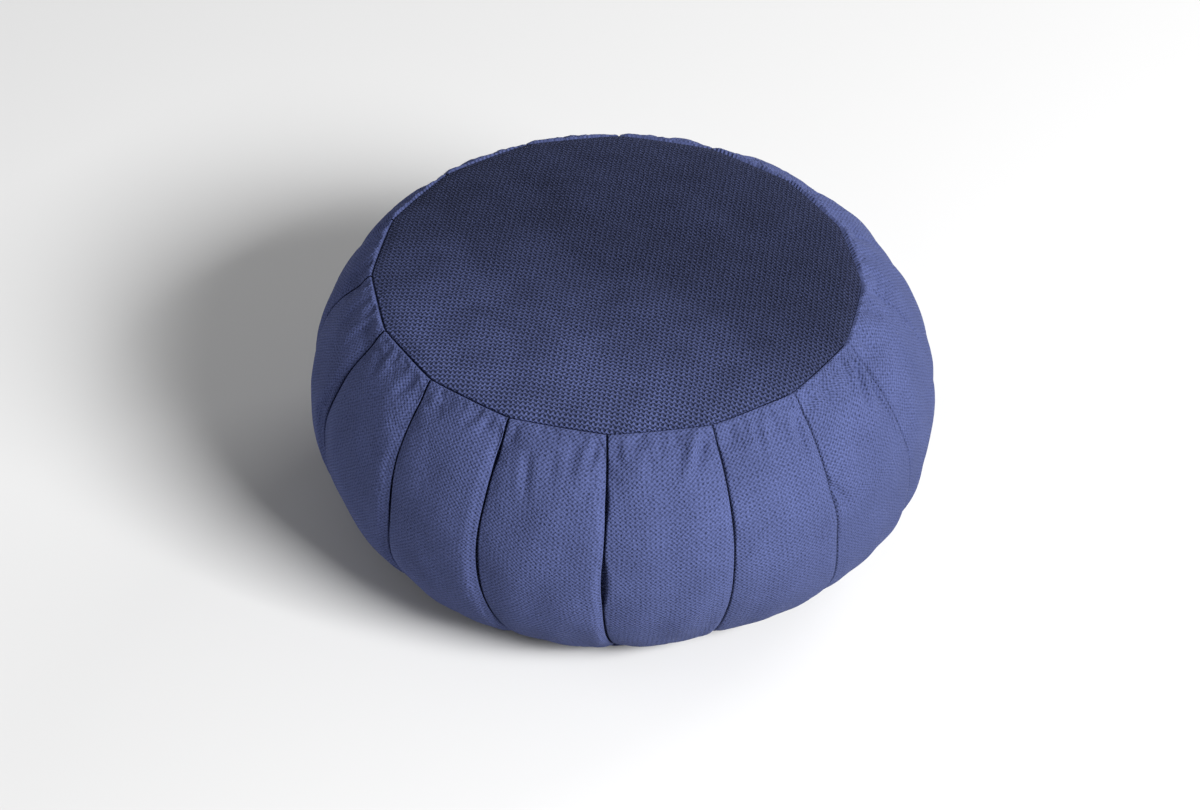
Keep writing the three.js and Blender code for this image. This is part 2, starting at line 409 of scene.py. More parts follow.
def side_outline(share, size):
    """The unpleated side at each share: radius, height, and its outward normal's two parts.

    It is the superellipse where radius is core + reach times cos^(2/m), and height is rise times sin^(2/m).
    """
    elevation = np.radians(SEAM_ELEVATION * (1 - 2 * share))
    power = 2 / BELLY_SQUARENESS
    out = np.cos(elevation) ** power
    up = np.sign(elevation) * np.abs(np.sin(elevation)) ** power
    normal_out = out ** (BELLY_SQUARENESS - 1) / size["belly_reach"]
    normal_up = np.sign(up) * np.abs(up) ** (BELLY_SQUARENESS - 1) / size["belly_rise"]
    length = np.hypot(normal_out, normal_up)
    radius = size["belly_core"] + size["belly_reach"] * out
    height = size["middle_height"] + size["belly_rise"] * up
    return radius, height, normal_out / length, normal_up / length


def seam_offset(turn, s):
    """How far a seam lies from its true round, at a share s of the panel from one fold to the next."""
    return oval(SEAM_OVAL, turn) - SEAM_FLAT * np.sin(np.pi * np.clip(s, 0, 1))


def lens(x):
    """A smooth bump: (1 - x squared) squared between -1 and 1, and 0 outside."""
    return np.clip(1 - x * x, 0, 1) ** 2


def column(values):
    """Values from row to row as one column, to go with the points of each row."""
    return np.asarray(values)[:, None]


def along_fold(rows, fold, share, key):
    """The sum of a fold's rows of a table, each a lens over its own stretch of shares."""
    own = [row[key] * lens((share - row["at"]) / row["half"]) for row in rows if row["fold"] == fold]
    return sum(own) + 0 * share


def place(turn, radius, shift, height):
    """Points at a turn and radius round an upright axis that is shifted sideways."""
    a = np.radians(turn)
    across, back = shift + radius * np.sin(a), -radius * np.cos(a)
    return np.stack(np.broadcast_arrays(across, back, height), axis=-1)


def all_gathers(length):
    """The gathers that show, and seeded ones for the rest of the top seam and all of the bottom seam."""
    rng = np.random.default_rng(SEED)
    rows = list(GATHER_ROWS)
    for fold in FOLDS:
        for from_top in (True, False):
            corner = fold["turns"][0 if from_top else -1]
            if from_top and GATHERS_SEEN_FROM < corner < GATHERS_SEEN_TO:
                continue
            for k in range(HIDDEN_GATHERS):
                away = corner - HIDDEN_START - HIDDEN_SPACING * k - rng.uniform(0, HIDDEN_START)
                long = rng.uniform(*HIDDEN_LENGTHS) / (1 + HIDDEN_SHORTENING * k)
                lean = rng.uniform(*HIDDEN_LEANS) / (1 + HIDDEN_STRAIGHTENING * k)
                start = (away, -GATHER_OVERRUN if from_top else length + GATHER_OVERRUN)
                end = (away - lean, long if from_top else length - long)
                up_or_down = 1 if k % 2 else -1
                rise = rng.uniform(*HIDDEN_RISES) * up_or_down * (HIDDEN_TOP_SHARE if from_top else 1)
                rows.append((start, end, rng.uniform(*HIDDEN_HALVES), rise))
    return [dict(zip(GATHER_KEYS, row)) for row in rows]


def gathered(rows, turn, down, radius):
    """The gathers' relief: a bell curve across each, and along it a lens that is fullest near its start."""
    relief = np.zeros(np.broadcast_shapes(turn.shape, down.shape))
    for row in rows:
        (turn_start, down_start), (turn_end, down_end) = row["start"], row["end"]
        x = np.radians((turn - turn_start + 180) % 360 - 180) * radius
        y = down - down_start
        along_x = math.radians(turn_end - turn_start) * radius.mean()
        along_y = down_end - down_start
        length = math.hypot(along_x, along_y)
        t = np.clip((x * along_x + y * along_y) / length**2, 0, 1)
        off = (x * along_y - y * along_x) / length
        relief += row["rise"] * np.exp(-((off / row["half"]) ** 2)) * lens(2 * t**GATHER_PEAK_POWER - 1)
    return relief


def band_waves(turn, down):
    """Soft unevenness of the filling: a sum of seeded cosines in turn and distance down."""
    rng = np.random.default_rng(SEED + 1)
    total = 0
    for _ in range(BAND_WAVES):
        order = rng.integers(*BAND_WAVE_ORDERS)
        slope = rng.normal(0, BAND_WAVE_SLOPE)
        total = total + np.cos(order * np.radians(turn) + slope * down + rng.uniform(0, 2 * math.pi))
    return BAND_WAVE_RISE * total / math.sqrt(BAND_WAVES / 2)


def panel_section(width, tuck, step, gape_before, gape, free, lip, size):
    """One panel across its width, for each row: distance from its first fold, height, and share.

    It runs back under the fold before it, climbs a steep wall, a soft bank and a long rise with a swell of
    sin(pi s), drops over its lip, rolls round a half circle, and goes back under itself.
    """
    pocket = POCKET_SHARE * step
    shoulder = SHOULDER_SHARE * step
    roll = (step - pocket - shoulder) / 2
    strength = np.clip(tuck / FULL_LIP, 0, 1)
    groove = GROOVE_WIDTH + gape_before
    deeper = (GROOVE_DEPTH + gape_before) * strength
    under = size["underlap"] * strength
    back = size["underlap"] * np.clip(step / FULL_LIP, 0, 1)
    flat_end = width - roll - GAPE_RETREAT * gape
    main_start = GROOVE_COLUMNS[-1] * groove
    main_end = flat_end - lip
    main = np.linspace(0, 1, PANEL_COLUMNS + 1)[1:]
    columns = [q * groove for q in GROOVE_COLUMNS]
    columns += [main_start + q * (main_end - main_start) for q in main]
    columns += [main_end + q * lip for q in np.linspace(0, 1, LIP_COLUMNS + 1)[1:]]
    x = np.stack(columns, axis=-1)
    s = x / column(width)
    wall = 1 - ease(x / column(groove))
    bank = np.exp(-x / BANK_REACH)
    rise = WALL_SHARE * wall + BANK_SHARE * bank + (1 - WALL_SHARE - BANK_SHARE) * (1 - s) ** RISE_POWER
    drop = column(shoulder) * ease((x - column(main_end)) / lip) ** LIP_POWER
    swell = column(free) * size["panel_puff"] * np.sin(math.pi * s)
    y = -column(tuck) * rise - column(deeper) * wall + swell - drop
    bend = math.pi * np.arange(1, NOSE_COLUMNS + 1) / NOSE_COLUMNS
    floor = column(-tuck - deeper)
    nose_x = column(flat_end) + column(roll) * np.sin(bend)
    nose_y = column(-shoulder - roll) + column(roll) * np.cos(bend)
    x = np.hstack([column(-under), column(-0.5 * under), x, nose_x, column(flat_end - 0.5 * back)])
    y = np.hstack([floor, floor, y, nose_y, column(pocket - step)])
    return x, y, np.clip(x / column(width), 0, 1)


def band_surface(size):
    """The pleated band as a grid of points, from seam to seam and all round, and its cloth's own grid.

    Each point is the side's outline at its share and turn, moved along the outward normal by the panel's
    section. The third value is each row's distance from the nearer seam.
    """
    even = np.linspace(0, 1, BAND_ROWS + 1)
    share = even - ROW_CROWDING * np.sin(2 * math.pi * even)
    radius, height, normal_out, normal_up = side_outline(share, size)
    down = np.concatenate([[0], np.cumsum(np.hypot(np.diff(radius), np.diff(height)))])
    length = down[-1]
    full = np.clip((radius - size["seam_radius"]) / (radius.max() - size["seam_radius"]), 0, 1)
    free = ease(np.minimum(share, 1 - share) / SEAM_FADE)
    grown = SEAM_FLATTEN + (1 - SEAM_FLATTEN) * free
    from_seam = np.minimum(down, length - down)
    dip = SEAM_DIP * np.exp(-(length - down) / SEAM_DIP_REACH)
    dip -= SEAM_SWELL * np.exp(-((down / SEAM_SWELL_REACH) ** 2))
    rows = all_gathers(length)
    points, cloth = [], []
    for i, before in enumerate(FOLDS):
        j = (i + 1) % len(FOLDS)
        after = FOLDS[j]
        wrap = 360 if after["turns"][0] < before["turns"][0] else 0
        start = through(before["turns"], share)
        end = through(after["turns"], share) + wrap
        width = np.radians(end - start) * radius
        tuck = grown * through(before["steps"], share) * (1 - along_fold(PINCHES, i, share, "share"))
        step = grown * through(after["steps"], share) * (1 - along_fold(PINCHES, j, share, "share"))
        gapes = (along_fold(GAPES, i, share, "wide"), along_fold(GAPES, j, share, "wide"))
        x, over, s = panel_section(width, tuck, step, *gapes, free, after["lip"], size)
        turn = column(start) + np.degrees(x / column(radius))
        out_before, out_after = through(before["outs"], share), through(after["outs"], share)
        out = column(out_before) + column(out_after - out_before) * ease(s)
        over = over - column(dip) + column(free) * gathered(rows, turn, column(down), column(radius))
        over = over + column(free) * band_waves(turn, column(down))
        at_seam = seam_offset(turn, s)
        f = column(full)
        round_radius = column(radius) + out + f * oval(BELLY_OVAL, turn) + (1 - f) * at_seam
        points.append(
            place(
                turn,
                round_radius + over * column(normal_out),
                size["seam_shift"] * (1 - f),
                column(height) + over * column(normal_up),
            )
        )
        steps = np.hypot(np.diff(x, axis=1), np.diff(over, axis=1))
        along = np.concatenate([np.zeros((len(share), 1)), np.cumsum(steps, axis=1)], axis=1)
        along -= along[:, -1:] / 2
        upright = np.broadcast_to(CUT_STEP[1] * i - column(down), along.shape)
        cloth.append(np.stack([along + CUT_STEP[0] * i, upright], axis=-1))
    return np.concatenate(points, axis=1), cloth, from_seam


def held_weights(columns, from_seam):
    """Two weights from 0 to 1 for each point: how firmly it is held, and how closely the cloth is cut.

    Both ends of each panel and both seams are held. The cut is 1 less a bell curve of the distance from a
    seam.
    """
    inside = np.arange(columns) % (columns // len(FOLDS))
    free = (inside >= HELD_COLUMNS[0]) & (inside <= HELD_COLUMNS[1])
    held = np.where(free[None, :] & (from_seam > 0)[:, None], 0.0, 1.0)
    side = np.where(np.arange(len(from_seam)) < BAND_ROWS / 2, 1, CLOTH_FOOT_SHARE)
    near = np.exp(-((from_seam / CLOTH_FULL_TO) ** 2)) * side
    close_cut = 1 - near[:, None] * free[None, :]
    return held, close_cut


def puckered(points, from_seam):
    """The band after its filling has pushed it out: the cloth is simulated on a coarser copy of the grid.

    The move of each coarse point is capped, and every finer point takes the mean of its neighbours' moves.
    """
    scene = bpy.context.scene
    coarse = points[::CLOTH_STRIDE, ::CLOTH_STRIDE]
    rows, columns = coarse.shape[:2]
    held, close_cut = held_weights(points.shape[1], from_seam)
    flat_uv = np.zeros((rows, columns + 1, 2))
    piece = grid_mesh("cloth_in_work", coarse, flat_uv)
    for name, weights in (("held", held), ("close_cut", close_cut)):
        group = piece.vertex_groups.new(name=name)
        picked = np.round(weights[::CLOTH_STRIDE, ::CLOTH_STRIDE].ravel(), 2)
        for weight in np.unique(picked[picked > 0]):
            group.add(np.flatnonzero(picked == weight).tolist(), float(weight), "REPLACE")
    cloth = piece.modifiers.new("cloth", "CLOTH")
    cloth.settings.quality = CLOTH_QUALITY
    cloth.settings.mass = CLOTH_MASS
    cloth.settings.tension_stiffness = CLOTH_STIFFNESS
    cloth.settings.compression_stiffness = CLOTH_STIFFNESS
    cloth.settings.shear_stiffness = CLOTH_STIFFNESS / 2
    cloth.settings.bending_stiffness = CLOTH_BENDING
    cloth.settings.vertex_group_mass = "held"
    cloth.settings.vertex_group_shrink = "close_cut"
    cloth.settings.shrink_min = -CLOTH_FULLNESS
    cloth.settings.shrink_max = 0
    cloth.settings.use_pressure = True
    cloth.settings.uniform_pressure_force = CLOTH_PRESSURE
    cloth.settings.effector_weights.gravity = 0
    cloth.collision_settings.use_collision = False
    cloth.point_cache.frame_start = 1
    cloth.point_cache.frame_end = CLOTH_FRAMES
    for frame_number in range(1, CLOTH_FRAMES + 1):
        scene.frame_set(frame_number)
    settled = piece.evaluated_get(bpy.context.evaluated_depsgraph_get()).data
    after = np.empty(rows * columns * 3, np.float32)
    settled.vertices.foreach_get("co", after)
    move = after.reshape(rows, columns, 3) / MM - coarse
    scene.frame_set(1)
    mesh = piece.data
    bpy.data.objects.remove(piece)
    bpy.data.meshes.remove(mesh)
    length = np.linalg.norm(move, axis=-1, keepdims=True)
    move = move * np.minimum(1, CLOTH_CAP / np.maximum(length, 1e-6))
    fine = np.zeros_like(points)
    fine[::CLOTH_STRIDE, ::CLOTH_STRIDE] = move
    fine[1::2] = 0.5 * (fine[:-1:2] + fine[2::2])
    fine[:, 1::2] = 0.5 * (fine[:, ::2] + np.roll(fine[:, ::2], -1, axis=1))
    return points + fine


def crown(share, size):
    """Height of the top disc's upper face: its seam plus rise times 1 - share^power, less the rolled rim."""
    rise = size["crown_height"] - RIM_LIFT
    seam = TOP_BOX[1][2] / MM - rise
    roll = np.clip((share - RIM_ROLL_SHARE) / (1 - RIM_ROLL_SHARE), 0, 1)
    return seam + rise * (1 - share**CROWN_POWER) - RIM_ROLL * roll**2


def base(share, size):
    """Height of the bottom disc's lower face: 0 on the floor, then a parabola up to its seam."""
    seam = BOTTOM_BOX[1][2] / MM - size["cloth_thickness"]
    bent = np.clip((share - FLOOR_FLAT_SHARE) / (1 - FLOOR_FLAT_SHARE), 0, 1)
    return seam * bent**2


def grid_mesh(name, points, uv, poles=()):
    """A mesh from a grid of points that closes on itself sideways, with a fan to a pole at either end.

    uv has one pair for each column of corners, so it has one column more than the points.
    """
    rows, columns = points.shape[:2]
    vertices = np.concatenate([points.reshape(-1, 3), np.array(poles, float).reshape(-1, 3)]) * MM
    r = np.arange(rows - 1)[:, None]
    c = np.arange(columns)[None, :]
    n = (c + 1) % columns
    above, below = r * columns, (r + 1) * columns
    quads = np.stack([above + c, below + c, below + n, above + n], axis=-1)
    corner = np.stack(
        np.broadcast_arrays(uv[r, c], uv[r + 1, c], uv[r + 1, c + 1], uv[r, c + 1]),
        axis=2,
    )
    quads = quads.reshape(-1, 4)
    corner = corner.reshape(-1, 2)
    mesh = bpy.data.meshes.new(name)
    fans = []
    fan_uv = []
    count = rows * columns
    if len(poles) == 2:
        c = np.arange(columns)
        n = (c + 1) % columns
        top = np.stack([np.full(columns, count), c, n], axis=-1)
        last = (rows - 1) * columns
        bottom = np.stack([last + n, last + c, np.full(columns, count + 1)], axis=-1)
        fans = [top, bottom]
        first, end = uv[0], uv[-1]
        fan_uv = [
            np.stack([0 * first[1:] + first.mean(axis=0), first[:-1], first[1:]], axis=1).reshape(-1, 2),
            np.stack([end[1:], end[:-1], 0 * end[1:] + end.mean(axis=0)], axis=1).reshape(-1, 2),
        ]
    loops = np.concatenate([quads.ravel(), *[f.ravel() for f in fans]]).astype(np.int32)
    sides = np.concatenate([np.full(len(quads), 4), *[np.full(len(f), 3) for f in fans]]).astype(np.int32)
    starts = np.concatenate([[0], np.cumsum(sides)[:-1]]).astype(np.int32)
    mesh.vertices.add(len(vertices))
    mesh.vertices.foreach_set("co", vertices.astype(np.float32).ravel())
    mesh.loops.add(len(loops))
    mesh.loops.foreach_set("vertex_index", loops)
    mesh.polygons.add(len(sides))
    mesh.polygons.foreach_set("loop_start", starts)
    mesh.polygons.foreach_set("use_smooth", np.ones(len(sides), bool))
    layer = mesh.uv_layers.new(name="cloth")
    all_uv = np.concatenate([corner, *fan_uv]) * MM
    mesh.update(calc_edges=True)
    layer.data.foreach_set("uv", all_uv.astype(np.float32).ravel())
    mesh.validate()
    piece = bpy.data.objects.new(name, mesh)
    bpy.context.collection.objects.link(piece)
    return piece


def add(tree, kind, at, links=(), **settings):
    """Adds a node at a place in the tree, sets its sockets and properties, and links its inputs."""
    node = tree.nodes.new(kind)
    node.location = at
    for name, value in settings.items():
        if hasattr(node, name):
            setattr(node, name, value)
        else:
            node.inputs[name.replace("_", " ")].default_value = value
    for socket, source in dict(links).items():
        tree.links.new(source, node.inputs[socket])
    return node


# How the weave lies on each piece: its two repeats as shares of the cloth's, their turns in degrees, the
# weights of its two diagonals and two threads, the heights that stand for gaps and beads, its relief in
# millimetres, how uneven its knots are, how much the pile is lighter and darker in patches, its painted
# shade, the way along which its painted light and shade run, and its painted tones from one place to
# another along that way, in metres
# The side is painted darker towards its right and its foot, as painted shade.
SIDE_WEAVE = {
    "warp_share": 0.958,
    "weft_share": 0.825,
    "warp_turn": 0.5,
    "weft_turn": 91,
    "weights": (0.85, 0.75, 0.4, 0.22),
    "depth": (-4.7, 2.1),
    "relief": 0.85,
    "knots": 5.8,
    "patches": 0.09,
    "painted_shade": 1,
    "painted_light_axis": (0.5, 0, -1),
    "reach": (-0.1, 0.05),
    "painted_light_tones": (1.03, 0.77),
}
# The discs are painted lighter towards the front-left and darker towards the back-right: painted light and
# shade.
DISC_WEAVE = {
    "warp_share": 1,
    "weft_share": 1,
    "warp_turn": -7,
    "weft_turn": 76,
    "weights": (1.0, 1.0, 0.9, 0.7),
    "depth": (-2.0, 1.8),
    "relief": 1.1,
    "knots": 3.4,
    "patches": 0.2,
    # Painted shade: both discs are painted darker than the side, though they are the same cloth.
    "painted_shade": 0.43,
    "painted_light_axis": (-0.42, -0.91, 0),
    "reach": (-0.03, 0.15),
    "painted_light_tones": (0.7, 2.5),
}

# The chenille's own unevenness: how far its threads stray, in millimetres, the pace of that and of its
# knots, in waves a millimetre, the fibres' slant, stretch, share of the relief and tones, the part of a noise
# that counts, and the pace of the pile's patches, in waves a metre
STRAY = 2.2
STRAY_PACE = 0.09
KNOT_PACE = 0.7
FIBRE_TURN = math.radians(-37)
FIBRE_STRETCH = (0.6, 2.6, 1)
FIBRE_SHARE = 0.35
GRAIN_TONES = (0.82, 1.18)
NOISE_REACH = (0.3, 0.7)
PATCHES_A_METRE = 38.0


def wave_vector(repeat, turn):
    """The direction of a wave, in radians per millimetre, from its length and its turn in degrees."""
    pace = 2 * math.pi / repeat
    return Vector((pace * math.cos(math.radians(turn)), pace * math.sin(math.radians(turn)), 0))


def woven_chenille(name, weave):
    """Plain-woven chenille: thick soft yarns whose slanted floats stand up as bright beads over dark gaps.

    The height is a sum of four cosines of the cloth's own millimetres, strayed and roughened by noise. Its
    smoothed steps mix the gap's colour, the pile's darkened by painted shade down between the floats, with
    the pile's and raise the bump. Painted light and shade make the piece lighter or darker along one way
    across it, and its painted shade darkens the whole piece. The pile gives the eye a soft, matt depth, with
    hardly any gloss and a thin sheen where it is seen edge on.
    """
    material = bpy.data.materials.new(name)
    material.use_nodes = True
    tree = material.node_tree
    tree.nodes.clear()
    uv = add(tree, "ShaderNodeUVMap", (-1800, 0), uv_map="cloth")
    flat = add(tree, "ShaderNodeMapping", (-1600, 0), {"Vector": uv.outputs["UV"]})
    flat.inputs["Scale"].default_value = (1 / MM, 1 / MM, 1)
    place_on_cloth = {"Vector": flat.outputs["Vector"]}
    sway = add(tree, "ShaderNodeTexNoise", (-1400, -200), place_on_cloth, Scale=STRAY_PACE, Detail=2.0)
    from_sway = {0: sway.outputs["Color"]}
    centred = add(tree, "ShaderNodeVectorMath", (-1200, -200), from_sway, operation="SUBTRACT")
    centred.inputs[1].default_value = (0.5, 0.5, 0.5)
    swayed = add(
        tree,
        "ShaderNodeVectorMath",
        (-1000, 0),
        {0: centred.outputs["Vector"], 2: flat.outputs["Vector"]},
        operation="MULTIPLY_ADD",
    )
    swayed.inputs[1].default_value = (STRAY, STRAY, 0)
    cloth = bpy.context.scene.cushion_cloth
    first = wave_vector(weave["warp_share"] * cloth.warp_repeat / MM, weave["warp_turn"])
    second = wave_vector(weave["weft_share"] * cloth.weft_repeat / MM, weave["weft_turn"])
    vectors = (second - first, second + first, first, second)
    waves = list(zip(vectors, weave["weights"], (0.0, 0.0, 0.0, math.pi / 2)))
    total = None
    for k, (direction, weight, phase) in enumerate(waves):
        down = -160 * k
        source = {0: swayed.outputs["Vector"]}
        dot = add(tree, "ShaderNodeVectorMath", (-800, down), source, operation="DOT_PRODUCT")
        dot.inputs[1].default_value = direction
        turned = add(tree, "ShaderNodeMath", (-640, down), {0: dot.outputs["Value"]}, operation="ADD")
        turned.inputs[1].default_value = phase
        wave = add(tree, "ShaderNodeMath", (-480, down), {0: turned.outputs["Value"]}, operation="COSINE")
        source = {0: wave.outputs["Value"]}
        summed = add(tree, "ShaderNodeMath", (-320, down), source, operation="MULTIPLY_ADD")
        summed.inputs[1].default_value = weight
        summed.inputs[2].default_value = 0
        if total:
            tree.links.new(total, summed.inputs[2])
        total = summed.outputs["Value"]
    knots = add(tree, "ShaderNodeTexNoise", (-500, 300), place_on_cloth, Scale=KNOT_PACE, Detail=3.0)
    source = {0: knots.outputs["Fac"], 2: total}
    uneven = add(tree, "ShaderNodeMath", (-320, 300), source, operation="MULTIPLY_ADD")
    uneven.inputs[1].default_value = weave["knots"]
    source = {"Value": uneven.outputs["Value"]}
    height = add(tree, "ShaderNodeMapRange", (-160, 0), source, interpolation_type="SMOOTHSTEP")
    height.inputs["From Min"].default_value = weave["depth"][0] + weave["knots"] / 2
    height.inputs["From Max"].default_value = weave["depth"][1] + weave["knots"] / 2
    fibre_space = add(tree, "ShaderNodeMapping", (-1000, -800), place_on_cloth)
    fibre_space.inputs["Rotation"].default_value = (0, 0, FIBRE_TURN)
    fibre_space.inputs["Scale"].default_value = FIBRE_STRETCH
    source = {"Vector": fibre_space.outputs["Vector"]}
    fibre = add(tree, "ShaderNodeTexNoise", (-800, -800), source, Scale=1.0, Detail=3.0)
    source = {0: fibre.outputs["Fac"], 2: height.outputs["Result"]}
    relief = add(tree, "ShaderNodeMath", (0, -400), source, operation="MULTIPLY_ADD")
    relief.inputs[1].default_value = FIBRE_SHARE
    objects = add(tree, "ShaderNodeTexCoord", (-1600, -1100))
    source = {"Vector": objects.outputs["Object"]}
    patches = add(tree, "ShaderNodeTexNoise", (-1200, -1100), source, Scale=PATCHES_A_METRE, Detail=4.0)
    patch = add(tree, "ShaderNodeMapRange", (-1000, -1100), {"Value": patches.outputs["Fac"]})
    patch.inputs["From Min"].default_value, patch.inputs["From Max"].default_value = NOISE_REACH
    patch.inputs["To Min"].default_value = 1 - weave["patches"]
    patch.inputs["To Max"].default_value = 1 + weave["patches"]
    # Painted light and shade: a ramp along one way across the piece, times the pile's random patches.
    source = {0: objects.outputs["Object"]}
    painted_light_axis = add(tree, "ShaderNodeVectorMath", (-1200, -1300), source, operation="DOT_PRODUCT")
    painted_light_axis.inputs[1].default_value = weave["painted_light_axis"]
    source = {"Value": painted_light_axis.outputs["Value"]}
    painted_light_ramp = add(tree, "ShaderNodeMapRange", (-1000, -1300), source, interpolation_type="SMOOTHSTEP")
    painted_light_ramp.inputs["From Min"].default_value, painted_light_ramp.inputs["From Max"].default_value = weave["reach"]
    painted_light_ramp.inputs["To Min"].default_value, painted_light_ramp.inputs["To Max"].default_value = weave["painted_light_tones"]
    source = {0: painted_light_ramp.outputs["Result"], 1: patch.outputs["Result"]}
    painted_light_and_patches = add(tree, "ShaderNodeMath", (-800, -1200), source, operation="MULTIPLY")
    grain = add(tree, "ShaderNodeMapRange", (-600, -800), {"Value": fibre.outputs["Fac"]})
    grain.inputs["From Min"].default_value, grain.inputs["From Max"].default_value = NOISE_REACH
    grain.inputs["To Min"].default_value, grain.inputs["To Max"].default_value = GRAIN_TONES
    source = {0: painted_light_and_patches.outputs["Value"], 1: grain.outputs["Result"]}
    painted_light_patches_grain = add(tree, "ShaderNodeMath", (-400, -1000), source, operation="MULTIPLY")
    # Low heights take the gap's colour, which is darkened by painted shade for the recesses between floats.
    colour = add(tree, "ShaderNodeMix", (0, 200), {"Factor": height.outputs["Result"]}, data_type="RGBA")
    # Both colours are times the piece's painted shade.
    colour.inputs[6].default_value = [weave["painted_shade"] * c for c in cloth.gap_colour]
    colour.inputs[7].default_value = [weave["painted_shade"] * c for c in cloth.pile_colour]
    toned = add(
        tree,
        "ShaderNodeVectorMath",
        (200, 200),
        {0: colour.outputs[2], "Scale": painted_light_patches_grain.outputs["Value"]},
        operation="SCALE",
    )
    bump = add(tree, "ShaderNodeBump", (200, -200), {"Height": relief.outputs["Value"]}, Strength=1.0)
    bump.inputs["Distance"].default_value = weave["relief"] * MM
    shader = add(
        tree,
        "ShaderNodeBsdfPrincipled",
        (450, 100),
        {"Base Color": toned.outputs["Vector"], "Normal": bump.outputs["Normal"]},
        Roughness=0.85,
    )
    shader.inputs["Specular IOR Level"].default_value = 0.05
    shader.inputs["Sheen Weight"].default_value = 0.14
    shader.inputs["Sheen Roughness"].default_value = 0.4
    shader.inputs["Sheen Tint"].default_value = from_hex("#8f9bd8")
    out = add(tree, "ShaderNodeOutputMaterial", (750, 100), {"Surface": shader.outputs["BSDF"]})
    out.is_active_output = True
    return material


def drawn_in(ring, share, height, middle):
    """The seam's ring drawn in towards the middle by a share, at one height."""
    inner = middle + share * (ring[:, :2] - middle)
    return np.column_stack([inner, np.full(len(ring), height)])


class CUSHION_OT_pleated_band(bpy.types.Operator):
    """Makes the filled body, its side laid in knife pleats"""

    bl_idname = "cushion.pleated_band"
    bl_label = "Pleated Band"

    def execute(self, context):
        size = sizes()
        points, cloth, from_seam = band_surface(size)
        points = puckered(points, from_seam)
        uv = np.concatenate(cloth, axis=1)
        uv = np.concatenate([uv, uv[:, -1:]], axis=1)
        middle = np.array([size["seam_shift"], 0])
        under_top = [drawn_in(points[0], s, crown(s, size) - CLOSING_DEPTH, middle) for s in CLOSING_SHARES]
        over_foot = [drawn_in(points[-1], s, base(s, size) + CLOSING_DEPTH, middle) for s in CLOSING_SHARES]
        rows = [*reversed(under_top), *points, *over_foot]
        extra = len(CLOSING_SHARES)
        uv = np.concatenate([np.repeat(uv[:1], extra, axis=0), uv, np.repeat(uv[-1:], extra, axis=0)])
        poles = [(*middle, crown(0, size) - CLOSING_DEPTH), (*middle, CLOSING_DEPTH)]
        piece = grid_mesh("pleated_band", np.stack(rows), uv, poles=poles)
        piece.data.materials.append(woven_chenille("Side_Chenille", SIDE_WEAVE))
        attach(piece, "root")
        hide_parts("pleated_body")
        return {"FINISHED"}


def disc_waves(x, y, share):
    """Soft unevenness of a disc: a sum of seeded cosines over the plane that dies away at the rim."""
    rng = np.random.default_rng(SEED + 2)
    total = 0
    for _ in range(DISC_WAVES):
        direction = rng.uniform(0, 2 * math.pi)
        pace = 2 * math.pi / rng.uniform(*DISC_WAVE_LENGTHS)
        wave = x * math.cos(direction) + y * math.sin(direction)
        total = total + np.cos(pace * wave + rng.uniform(0, 2 * math.pi))
    return DISC_WAVE_RISE * total / math.sqrt(DISC_WAVES / 2) * (1 - share**DISC_WAVE_FADE)


def disc_surface(seam, height_at, outer, inner, size):
    """A disc of cloth in rings of points, from the middle of its upper face round its rim to its lower face.

    Its radius is the seam's less a small inset, and its rim is a half circle of the cloth's thickness.
    """
    turn = np.arange(DISC_SEGMENTS) * 360 / DISC_SEGMENTS
    order = sorted(FOLDS, key=lambda row: row["turns"][seam] % 360)
    marks = np.array([row["turns"][seam] % 360 for row in order])
    outs = np.array([row["outs"][seam] for row in order])
    marks = np.append(marks, marks[0] + 360)
    outs = np.append(outs, outs[0])
    wrapped = np.where(turn < marks[0], turn + 360, turn)
    i = np.clip(np.searchsorted(marks, wrapped, side="right") - 1, 0, len(marks) - 2)
    s = (wrapped - marks[i]) / (marks[i + 1] - marks[i])
    out = outs[i] + (outs[i + 1] - outs[i]) * ease(s)
    rim = size["seam_radius"] + seam_offset(turn, s) + out - DISC_INSET
    half = abs(outer - inner) / 2
    middle = (outer + inner) / 2
    radii, heights = [], []
    shares = np.linspace(FIRST_RING, 1, DISC_RINGS) ** RING_POWER
    for q in shares:
        radii.append(q * (rim - half))
        ring = place(turn, radii[-1], 0, 0)
        waves = disc_waves(ring[:, 0], ring[:, 1], q) if seam == 0 else 0
        heights.append(height_at(q, size) + outer + waves)
    for k in range(1, RIM_RINGS):
        bend = math.pi * k / RIM_RINGS
        radii.append(rim - half + half * math.sin(bend))
        heights.append(height_at(1, size) + middle + (outer - inner) / 2 * math.cos(bend))
    for q in shares[::-INNER_RING_STRIDE]:
        radii.append(q * (rim - half))
        heights.append(height_at(q, size) + inner)
    if inner > outer:
        radii.reverse()
        heights.reverse()
    points = np.stack([place(turn, r, size["seam_shift"], h) for r, h in zip(radii, heights)])
    steps = np.linalg.norm(np.diff(points, axis=0), axis=-1)
    along = np.concatenate([[points[0, :, 0] * 0 + radii[0]], radii[0] + np.cumsum(steps, axis=0)])
    if inner > outer:
        along = along[-1] - along
    around = place(turn, 1, 0, 0)[None, :, :2]
    uv = around * along[..., None]
    uv = np.concatenate([uv, uv[:, :1]], axis=1)
    poles = [
        (size["seam_shift"], 0, height_at(0, size) + max(outer, inner)),
        (size["seam_shift"], 0, height_at(0, size) + min(outer, inner)),
    ]
    return points, uv, poles


